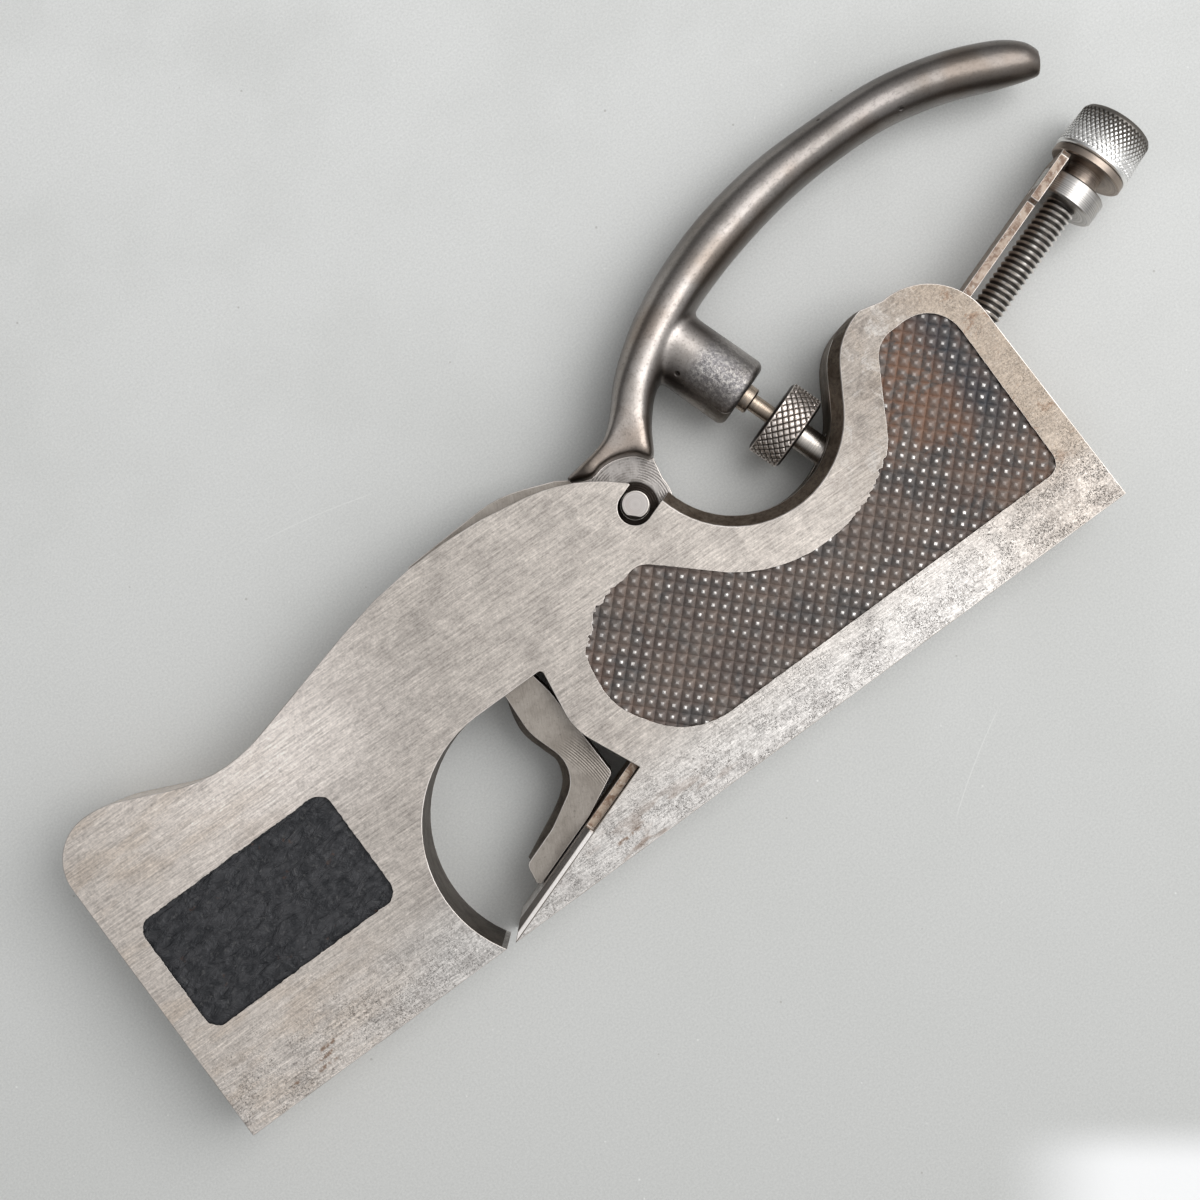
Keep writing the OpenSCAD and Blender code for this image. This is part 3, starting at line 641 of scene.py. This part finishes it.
def turned(name, start, axis, profile, around, relief=None):
    """A closed turned piece from its profile (distance along the axis, radius) and a relief."""
    axis = axis.normalized()
    side = Vector((0.0, 0.0, 1.0))
    other = axis.cross(side)
    points, faces = [start + axis * profile[0][0]], []
    for along, radius in profile:
        for k in range(around):
            angle = 2 * math.pi * k / around
            r = radius + (relief(angle, along, radius) if relief else 0.0)
            points.append(start + axis * along + (side * math.cos(angle) + other * math.sin(angle)) * r)
    points.append(start + axis * profile[-1][0])
    last = len(points) - 1
    for k in range(around):
        nxt = (k + 1) % around
        faces.append((0, 1 + nxt, 1 + k))
        faces.append((last, last - around + k, last - around + nxt))
    for row in range(len(profile) - 1):
        a, b = 1 + row * around, 1 + (row + 1) * around
        faces += [(a + k, a + (k + 1) % around, b + (k + 1) % around, b + k) for k in range(around)]
    return mesh_of(points, faces, name)


def stretch(points, step):
    """A profile with rows no further apart than a step."""
    full = [points[0]]
    for (a0, r0), (a1, r1) in zip(points, points[1:]):
        count = max(1, math.ceil(abs(a1 - a0) / step))
        full += [(a0 + (a1 - a0) * i / count, r0 + (r1 - r0) * i / count) for i in range(1, count + 1)]
    return full


def knurl(first, last, around, pitch, depth, wide):
    """Crossed grooves between two places on an axis."""
    def relief(angle, along, radius):
        if along <= first or along >= last:
            return 0.0
        turns, rise = angle * around / (2 * math.pi), (along - first) / pitch
        p, q = (turns + rise) % 1.0 - 0.5, (turns - rise) % 1.0 - 0.5
        fade = min(1.0, (along - first) / 0.25, (last - along) / 0.25)
        groove = 1.0 - min(1.0, min(0.5 - abs(p), 0.5 - abs(q)) / wide)
        return -depth * groove * fade
    return relief


def thread(first, last, pitch, depth):
    """A rounded screw thread between two places on an axis."""
    def relief(angle, along, radius):
        if along < first or along > last:
            return 0.0
        phase = ((along - first) / pitch - angle / (2 * math.pi)) % 1.0
        return -depth * (0.5 + 0.5 * math.cos(2 * math.pi * phase)) ** 0.8
    return relief


# Body

GROUND, WORN, TOE_FLOOR, GRIP_FLOOR, INNER, BEVELLED = range(6)
PANEL = ((-95.9, 20.1), (-52.8, 44.6))
DEEP = 0.9
TOE_END = -45.0
GRIP_MIDDLE = (48.6, 27.55)


def body_zone(face):
    """Which finish a face of the body takes, from where it lies and which way it faces."""
    centre, facing = face.calc_center_median() / MM, face.normal
    heights = [v.co.z / MM for v in face.verts]
    out, extent = abs(centre.z - MID), max(heights) - min(heights)
    recess = TOE_FLOOR if centre.x < TOE_END else GRIP_FLOOR
    hump = centre.x > 60 and centre.y > 40
    if abs(facing.z) > 0.95:
        return GROUND if out > MID - 0.2 else recess if out > MID - 1.2 else INNER
    if out > MID - DEEP and extent < 1.0:
        return recess
    if (centre - HOLLOW).xy.length < HOLLOW_R or hump and abs(facing.z) > 0.2:
        return BEVELLED
    if extent < 15:
        return BEVELLED if hump and facing.x < 0.2 else INNER
    throat = (centre - THROAT).xy.length < THROAT_R and centre.y > 0.5 and abs(facing.y) < 0.999
    return INNER if throat else GROUND


def recess_floor(solid, side, grip):
    """The floor faces of a recess: the left or right side's, the grip's or the toe panel's."""
    level = MID + side * (MID - DEEP)
    return [face for face in solid.faces
            if face.normal.z * side > 0.99 and abs(face.calc_center_median().z / MM - level) < 0.01
            and (face.calc_center_median().x > TOE_END * MM) == grip]


def rim_of(floor):
    """The vertices round a recess floor, in order."""
    held, ring = set(floor), {}
    for face in floor:
        for loop in face.loops:
            if loop.link_loop_radial_next.face not in held:
                ring[loop.vert] = loop.link_loop_next.vert
    first = next(iter(ring))
    path, at = [first], ring[first]
    while at != first:
        path.append(at)
        at = ring[at]
    return path


def raggedness(x, y):
    """How far the casting's rim strays, most where the grinding met the checkering."""
    lobe = max(0.0, 1.0 - math.hypot(x - 8.5, y - 41.0) / 10.0)
    hump = max(0.0, 1.0 - math.hypot(x - 63.5, y - 29.0) / 10.0)
    return 0.07 + 0.70 * min(1.0, 2.0 * lobe) + 0.60 * min(1.0, 1.8 * hump)


def pushed(x, y):
    """How far the real grip's edge lies outside the plain outline, in millimetres."""
    pushes = [(4.5, 39.4, 3.8, -1.3), (11.0, 41.7, 6.0, 0.5), (1.9, 28.5, 9.5, 1.1)]
    return sum(push * max(0.0, 1.0 - ((x - a) ** 2 + (y - b) ** 2) / reach ** 2) ** 1.5
               for a, b, reach, push in pushes)


def roughened_rim(solid, side, grip):
    """Breaks a recess's rim into small steps, as the casting has it, and gives its outline."""
    walls = {}
    for vert in rim_of(recess_floor(solid, side, grip)):
        for face in vert.link_faces:
            if abs(face.normal.z) < 0.02 and len(face.verts) == 4:
                walls[face] = True
    for face in walls:
        level = [edge for edge in face.edges if abs(edge.verts[0].co.z - edge.verts[1].co.z) < 1e-6]
        cuts = round(level[0].calc_length() / MM / 0.42) - 1
        if cuts > 0:
            bmesh.ops.subdivide_edges(solid, edges=level, cuts=cuts)
    rim = rim_of(recess_floor(solid, side, grip))
    path = [v.co.xy / MM for v in rim]
    moved = []
    low = Vector((min(p.x for p in path), min(p.y for p in path)))
    high = Vector((max(p.x for p in path), max(p.y for p in path)))
    middle = (Vector(PANEL[0]) + Vector(PANEL[1])) / 2
    for k, point in enumerate(path):
        ahead = path[(k + 1) % len(path)] - path[k - 1]
        out = Vector((ahead.y, -ahead.x)).normalized() * side
        if grip:
            stray = raggedness(*point)
            point = point + out * pushed(*point)
        else:
            stray = 0.16
            point = Vector([
                p + (PANEL[1][i] - high[i] if p > middle[i] else PANEL[0][i] - low[i])
                for i, p in enumerate(point)])
        coarse = noise.noise(Vector((point.x * 0.55, point.y * 0.55, 7.0 * side)))
        fine = noise.noise(Vector((point.x * 1.7, point.y * 1.7, 3.0 * side)))
        moved.append(point + out * stray * (0.9 * coarse + 1.0 * fine))
    for vert, point in zip(rim, moved):
        joined = [edge.other_vert(vert) for edge in vert.link_edges]
        above = [v for v in joined if (v.co.xy - vert.co.xy).length < 1e-7]
        for v in [vert, *above]:
            v.co.x, v.co.y = point.x * MM, point.y * MM
    return [tuple(point) for point in moved]


def dress_body():
    """The body with worn edges and ragged rims. Gives the outline of each side's grip panel."""
    solid = welded("body_casting")
    for face in solid.faces:
        face.material_index = body_zone(face)
    weight = solid.edges.layers.float.new("bevel_weight_edge")
    for edge in solid.edges:
        turn = math.degrees(edge.calc_face_angle(0.0))
        floor = [face for face in edge.link_faces if abs(face.normal.z) > 0.99
                 and abs(abs(face.calc_center_median().z / MM - MID) - (MID - DEEP)) < 0.01]
        rim = any(face.material_index in (TOE_FLOOR, GRIP_FLOOR) for face in edge.link_faces)
        edge[weight] = 0.0 if turn < 25 or floor else 0.3 if rim else 1.0
    outlines = {}
    for side in (1, -1):
        outlines[side] = roughened_rim(solid, side, grip=True)
        roughened_rim(solid, side, grip=False)
    # The wall finishes are copies of one dark wall painted with more or less shade: darkest on the inner
    # walls, lightest on the hollow's bevel.
    mesh = as_mesh(solid, "body_dressed", [
        ground_face(), worn_edge("worn_edge"), panel_floor(), dark_wall("grip_wall", 0.7),
        dark_wall("inner_wall", 0.6), dark_wall("hollow_bevel", 1.1)])
    body = shown(handled(mesh, 0.17, limit="WEIGHT"), "body_dressed", "body")
    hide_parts("body_casting")
    return outlines


def inside(point, outline):
    """Whether a point lies inside an outline."""
    x, y = point
    odd = False
    for (x0, y0), (x1, y1) in zip(outline, outline[1:] + outline[:1]):
        if (y0 > y) != (y1 > y) and x < x0 + (y - y0) * (x1 - x0) / (y1 - y0):
            odd = not odd
    return odd


def checkering(side, outline, material):
    """Rows of small pyramids at 45 degrees to the sole, on the floor of one grip panel."""
    pitch, fine, tall, cover = 2.2, 8, 0.72, 0.08
    floor_z = MID + side * (MID - DEEP)
    turn = math.radians(45.0)
    index, points, faces = {}, [], []

    def spot(a, b):
        """Where a place counted in cells lies on the side."""
        return (GRIP_MIDDLE[0] + pitch * (a * math.cos(turn) - b * math.sin(turn)),
                GRIP_MIDDLE[1] + pitch * (a * math.sin(turn) + b * math.cos(turn)))

    def touches(i, j):
        """Whether a cell lies in the panel or on its rim."""
        x, y = spot(i + 0.5, j + 0.5)
        around = [(x + dx, y + dy) for dx in (-1.2, 0, 1.2) for dy in (-1.2, 0, 1.2)]
        return any(inside(place, outline) for place in around)

    def vertex(u, v):
        """The number of a grid point, which is made when it is first asked for."""
        if (u, v) not in index:
            a, b = u / fine, v / fine
            x, y = spot(a, b)
            p, q = abs(a % 1.0 - 0.5), abs(b % 1.0 - 0.5)
            peak = 1.0 - 2.0 * (max(p, q) * 0.9 + (p + q) * 0.05)
            wear = 0.88 + 0.14 * noise.noise(Vector((x * 0.45, y * 0.45, side)))
            rough = noise.noise(Vector((x * 1.7, y * 1.7, 3 * side))) * 0.06
            height = min(max(0.0, peak), wear) * tall + rough
            index[u, v] = len(points)
            points.append((x, y, floor_z + side * (height + cover)))
        return index[u, v]

    cells = [(i, j) for i in range(-60, 61) for j in range(-60, 61) if touches(i, j)]
    for i, j in cells:
        for u in range(i * fine, (i + 1) * fine):
            for v in range(j * fine, (j + 1) * fine):
                quad = [vertex(u, v), vertex(u + 1, v), vertex(u + 1, v + 1), vertex(u, v + 1)]
                faces.append(quad if side > 0 else quad[::-1])
    mesh = mesh_of(points, faces, "checkering")
    mesh = modified(mesh, [("SOLIDIFY", {"thickness": 0.25 * MM, "offset": -1.0})])
    name = "checkering_left" if side > 0 else "checkering_right"
    piece = shown(mesh, name, "body", [material], 24.0)


# Cap lever

SHOULDER_R = 9.3
DISC_R = 10.3
LIMB_HALF = 4.6
BOSS_R, BOSS_N, BOSS_LONG = 7.1, 24.28, 19.7

# Stations from the pivot: outer edge s, n; inner edge s, n; share of the half width; squareness
ARM = [
    (-3.2, 13.7, -3.4, 12.2, 0.7, 0.7), (0.4, 12.9, -0.6, 9.7, 0.97, 0.5),
    (3.8, 12.2, 2.4, 9.2, 1, 0.4), (6.8, 12.2, 5.1, 7.9, 1, 0.4), (9.8, 13.2, 7.7, 5.4, 1, 0.4),
    (12.8, 14.8, 9.3, 2.3, 1, 0.45), (17.3, 17.2, 14.3, 6.1, 0.98, 0.6),
    (23.3, 19.4, 20.2, 9.2, 0.95, 0.75), (31.3, 21.3, 29.3, 11.1, 0.91, 0.85),
    (40.8, 22.3, 39.3, 12.1, 0.87, 0.9), (52.8, 22, 51.3, 11.7, 0.82, 0.9),
    (66.6, 19.6, 64.3, 9.9, 0.77, 0.9), (79.8, 15.3, 75.8, 6.9, 0.72, 0.9),
    (92.8, 10.1, 87.3, 2.5, 0.67, 0.9), (103.8, 3.3, 97.3, -3.6, 0.62, 0.9),
    (112.1, -4.0, 105.4, -10.4, 0.54, 0.9), (115.6, -9.0, 109.8, -13.9, 0.43, 0.95),
    (116.2, -12.4, 112.5, -15.7, 0.27, 1),
]


def smooth_rows(rows, steps):
    """Stations with a smooth run of steps between them."""
    rows = np.array(rows, float)
    last = len(rows) - 1
    full = []
    for i in range(last):
        a, b, c, d = rows[max(i - 1, 0)], rows[i], rows[i + 1], rows[min(i + 2, last)]
        for t in np.arange(steps) / steps:
            full.append(0.5 * (2 * b + (c - a) * t + (2 * a - 5 * b + 4 * c - d) * t ** 2
                               + (3 * b - a - 3 * c + d) * t ** 3))
    return full + [rows[last]]


def arm_mesh():
    """The palm arm as a sweep of ovals."""
    half, around = MID - 0.3, 40
    points, faces = [], []
    rows = smooth_rows(ARM, 8)
    for so, no, si, ni, share, square in np.array(rows).tolist():
        centre = PIVOT + (so + si) / 2 * UP_BED + (no + ni) / 2 * OFF_BED
        reach = (so - si) / 2 * UP_BED + (no - ni) / 2 * OFF_BED
        for k in range(around):
            a = 2 * math.pi * k / around
            c, s = math.cos(a), math.sin(a)
            across = math.copysign(abs(c) ** square, c)
            points.append(centre + reach * across
                          + Vector((0, 0, half * share * math.copysign(abs(s) ** square, s))))
    for i in range(len(rows) - 1):
        a, b = i * around, (i + 1) * around
        faces += [(a + k, a + (k + 1) % around, b + (k + 1) % around, b + k) for k in range(around)]
    faces += [tuple(range(around))[::-1], tuple(range(len(points) - around, len(points)))]
    return mesh_of(points, faces, "arm")


# Points along the limb's edge beside the throat, x and y, and how far the draft stands out
DRAFT = [
    (-15.0, 38.0, 0.2), (-15.5, 34.3, 0.8), (-15.4, 30.5, 1.3), (-14.1, 26.3, 1.5), (-13.1, 22.6, 1.5),
    (-14.3, 18.7, 1.5), (-16.8, 16.1, 1.4), (-20.1, 14.1, 1.3), (-24.5, 12.2, 1.1), (-29.7, 10.4, 0.5),
]


def draft_mesh():
    """The limb's cast draft beside the throat."""
    rows = smooth_rows(DRAFT, 6)
    points, faces = [], []
    for i, (x, y, out) in enumerate(np.array(rows).tolist()):
        before, after = rows[max(i - 1, 0)], rows[min(i + 1, len(rows) - 1)]
        ahead = Vector((after[0] - before[0], after[1] - before[1])).normalized()
        side = Vector((ahead.y, -ahead.x, 0.0))
        upper = [(-0.8, 4.1), (-0.15, 4.1), (out * 0.85, 2.0), (out, 1.0)]
        section = upper + [(push, -z) for push, z in upper[::-1]]
        points += [Vector((x, y, MID + z)) + side * push for push, z in section]
    wide = 8
    for i in range(len(rows) - 1):
        a, b = i * wide, (i + 1) * wide
        faces += [(a + k, a + (k + 1) % wide, b + (k + 1) % wide, b + k) for k in range(wide)]
    last = len(points) - wide
    faces += [tuple(range(wide))[::-1], tuple(range(last, last + wide))]
    return mesh_of(points, faces, "draft")


def dress_lever():
    """The arm with its boss as one smooth casting, cut round at the shoulder, and the milled limb."""
    bend = 1.6
    quarter = [math.radians(a) for a in range(0, 91, 15)]
    round_off = [(bend - bend * math.cos(a), BOSS_R - bend + bend * math.sin(a)) for a in quarter]
    boss = turned("boss", on_bed(CLAMP_S, BOSS_N), OFF_BED,
                  [(0.0, 2.0), *round_off, (BOSS_LONG, BOSS_R), (BOSS_LONG, 2.0)], 64)
    cast = modified(arm_mesh(), [
        combined(boss, "UNION"), ("REMESH", {"mode": "VOXEL", "voxel_size": 0.34 * MM})])
    piece = placed(cast)
    group = piece.vertex_groups.new(name="fillet")
    for v in cast.vertices:
        at = v.co / MM - PIVOT
        s, n = at.dot(UP_BED), at.dot(OFF_BED)
        joint = max(0.0, 1.0 - abs(n - 9.0) / 6.0) * (1.0 if 14.0 < s < 44.0 else 0.0)
        group.add([v.index], 0.08 + 0.92 * min(1.0, 1.6 * joint), "REPLACE")
    shoulder = turned("shoulder", PIVOT - Vector((0, 0, 15)), Vector((0, 0, 1)),
                      [(0.0, SHOULDER_R), (30.0, SHOULDER_R)], 128)
    arm = settled(piece, [
        ("SMOOTH", {"factor": 0.5, "iterations": 80, "vertex_group": "fillet"}),
        combined(shoulder, "DIFFERENCE")])
    arm = shown(arm, "lever_arm", "lever", [lever_skin()], 50.0)
    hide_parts("cap_lever")

    turns = [math.radians(a) for a in range(0, 97, 6)]
    ring = [(DISC_R * math.cos(a), DISC_R * math.sin(a)) for a in turns]
    keep = [*ring, (-3.3, 13.0), (-8.0, 19.0), (-60.0, 45.0), (-90.0, 45.0),
            (-90.0, -45.0), (25.0, -45.0), (25.0, 0.0)]
    outline = [tuple((PIVOT + s * UP_BED + n * OFF_BED).xy) for s, n in keep]
    limb = as_mesh(welded("cap_lever"), "limb", [milled(), worn_edge("limb_edge")])
    plate = prism(outline, MID - LIMB_HALF, MID + LIMB_HALF)
    limb = modified(limb, [combined(plate, "INTERSECT")])
    limb = shown(handled(limb, 0.18), "lever_limb", "lever")
    # The draft takes its own copy of the dark wall, with painted shade at its own level.
    draft = shown(draft_mesh(), "limb_draft", "lever", [dark_wall("limb_wall", 0.8)], 30.0)


# Screws, iron and pin

SCREW_R, PITCH, THREAD_DEEP = 3.175, 1.27, 0.62


def dress_screws():
    """The adjusting screw with its knob, the thumb wheel and the clamp screw's rod."""
    adjuster = on_bed(0.0, ADJUSTER_N)
    steel = ((0.62, 0.60, 0.58), (0.34, 0.32, 0.30), (0.50, 0.46, 0.42))
    straw = ((0.72, 0.66, 0.60), (0.48, 0.44, 0.40), (0.40, 0.39, 0.39))
    brown = ((0.44, 0.37, 0.31), (0.27, 0.22, 0.19), (0.17, 0.14, 0.12))

    collar = HEEL_S + 25.9
    neck, flange = collar + 4.6, collar + 8.0
    start, end = HEEL_S - 36.0, collar + 0.4
    shank = turned("screw_thread", adjuster, UP_BED,
                   stretch([(start, 2.6), (start + 0.4, SCREW_R), (end, SCREW_R)], 0.14), 56,
                   thread(start + 0.6, end, PITCH, THREAD_DEEP))
    shank = shown(shank, "screw_thread", "adjuster",
                  [knurled_steel("thread_steel", (0.92, 0.88, 0.84), (0.07, 0.064, 0.058),
                                 adjuster, UP_BED, SCREW_R, THREAD_DEEP)], 60.0)
    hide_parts("adjusting_screw")
    parts = [
        ("screw_collar", turned_steel("collar_steel", steel, adjuster, UP_BED, 5.0, 0.24),
         [(collar, 6.25), (collar + 0.3, 6.55), (neck - 0.3, 6.55), (neck, 6.25)]),
        ("screw_neck", turned_steel("neck_steel", brown, adjuster, UP_BED, 6.0, 0.34),
         [(neck - 0.4, 3.65), (flange + 0.4, 3.65)]),
        ("screw_flange", turned_steel("flange_steel", brown, adjuster, UP_BED, 8.0, 0.30),
         [(flange, 7.35), (flange + 0.25, 7.6), (flange + 1.5, 7.6), (flange + 1.75, 7.3)]),
    ]
    for name, finish, profile in parts:
        piece = shown(turned(name, adjuster, UP_BED, profile, 128), name, "adjuster", [finish], 30.0)

    base = flange + 1.75
    knob = stretch([(base, 7.35), (base + 0.3, 7.75), (base + 0.75, 7.8), (base + 8.5, 7.36)], 0.125)
    knob += [(base + 8.7, 7.28), (base + 9.2, 6.95), (base + 9.5, 6.4), (base + 9.5, 6.0),
             (base + 9.3, 5.6)]
    knob = turned("knob", adjuster, UP_BED, knob, 400,
                  knurl(base + 0.75, base + 8.4, 44, 1.36, 0.28, 0.24))
    knob = shown(knob, "knurled_knob", "adjuster",
                 [knurled_steel("knob_steel", (1.0, 0.99, 0.97), (0.15, 0.135, 0.12),
                                adjuster, UP_BED, 7.62, 0.36)], 25.0)
    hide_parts("adjusting_knob")

    clamp = on_bed(CLAMP_S, 0.0)
    wheel_n, wheel_t = 11.08, 6.8
    wheel = stretch([(wheel_n, 6.9), (wheel_n + 0.5, 7.7), (wheel_n + wheel_t - 0.5, 7.7),
                     (wheel_n + wheel_t, 6.9)], 0.125)
    wheel = [(wheel_n, 2.6), *wheel, (wheel_n + wheel_t, 2.6)]
    wheel = turned("wheel", clamp, OFF_BED, wheel, 420,
                   knurl(wheel_n + 0.45, wheel_n + wheel_t - 0.45, 27, 1.45, 0.36, 0.23))
    wheel = shown(wheel, "knurled_wheel", "clamp_wheel",
                  [knurled_steel("wheel_steel", (0.95, 0.87, 0.81), (0.075, 0.062, 0.055),
                                 clamp, OFF_BED, 7.68, 0.34)], 25.0)
    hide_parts("thumb_wheel")

    rod = frame["nodes"]["lever_screw"]
    rod.data.materials.clear()
    rod.data.materials.append(turned_steel("rod_steel", straw, clamp, OFF_BED, 7.0, 0.22, 17.5))


def dress_iron_and_pin():
    """The iron and the pivot pin, from their own solids with worn edges."""
    iron = as_mesh(welded("cutting_iron"), "iron", [iron_steel(), worn_edge("iron_edge")])
    iron = shown(handled(iron, 0.12), "iron_dressed", "iron")
    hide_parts("cutting_iron")
    bright = ((0.50, 0.465, 0.445), (0.41, 0.38, 0.36), (0.44, 0.39, 0.365))
    pin = as_mesh(welded("pivot_pin"), "pin", [
        turned_steel("pin_steel", bright, PIVOT, Vector((0, 0, 1)), 2.0, 0.34), worn_edge("pin_edge")])
    pin = shown(handled(pin, 0.2), "pin_dressed", "lever")
    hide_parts("pivot_pin")


# Table and light

def table():
    """The table top, a hair under the plane."""
    far, drop = 3000, 0.02
    mesh = mesh_of([(-far, -far, 0), (far, -far, 0), (far, far, 0), (-far, far, 0)],
                   [(0, 1, 2, 3)], "table")
    mesh.materials.append(table_top())
    piece = placed(mesh, "table")
    piece.location.z = -drop * MM


def window_light(place, size, power):
    """One soft square light, high up beyond the heel, as a window gives."""
    data = bpy.data.lights.new("window", "AREA")
    data.shape = "SQUARE"
    data.size = size
    data.energy = power
    lamp = bpy.data.objects.new("window", data)
    lamp.location = place
    aim = Vector((0.0, 0.04, 0.0)) - lamp.location
    lamp.rotation_euler = aim.to_track_quat("-Z", "Y").to_euler()
    bpy.context.scene.collection.objects.link(lamp)


def room():
    """A soft room: pale overhead, darker towards the horizon."""
    world = bpy.data.worlds.new("room")
    bpy.context.scene.world = world
    world.use_nodes = True
    tree = world.node_tree
    place = new_node(tree, "ShaderNodeTexCoord", out="Generated")
    east, north, up = (
        new_node(tree, "ShaderNodeSeparateXYZ", inputs={0: place}, out=axis) for axis in "XYZ")
    across = east * 0.88 - north * 0.47
    toward = (up * 0.89 + across * 0.456).high(0.0)
    strength = 0.14 + toward ** 1.8
    sight = new_node(tree, "ShaderNodeLightPath", out="Is Camera Ray")
    background = tree.nodes["Background"]
    put(tree, background.inputs["Color"], (0.98, 0.99, 1.0))
    put(tree, background.inputs["Strength"], strength * (1.0 - sight) + sight * 0.8)


grips = dress_body()
points_finish = checkered()
for side, outline in grips.items():
    checkering(side, outline, points_finish)
dress_lever()
dress_screws()
dress_iron_and_pin()
table()
window_light((0.60, -0.08, 0.88), 0.75, 5.2)
room()
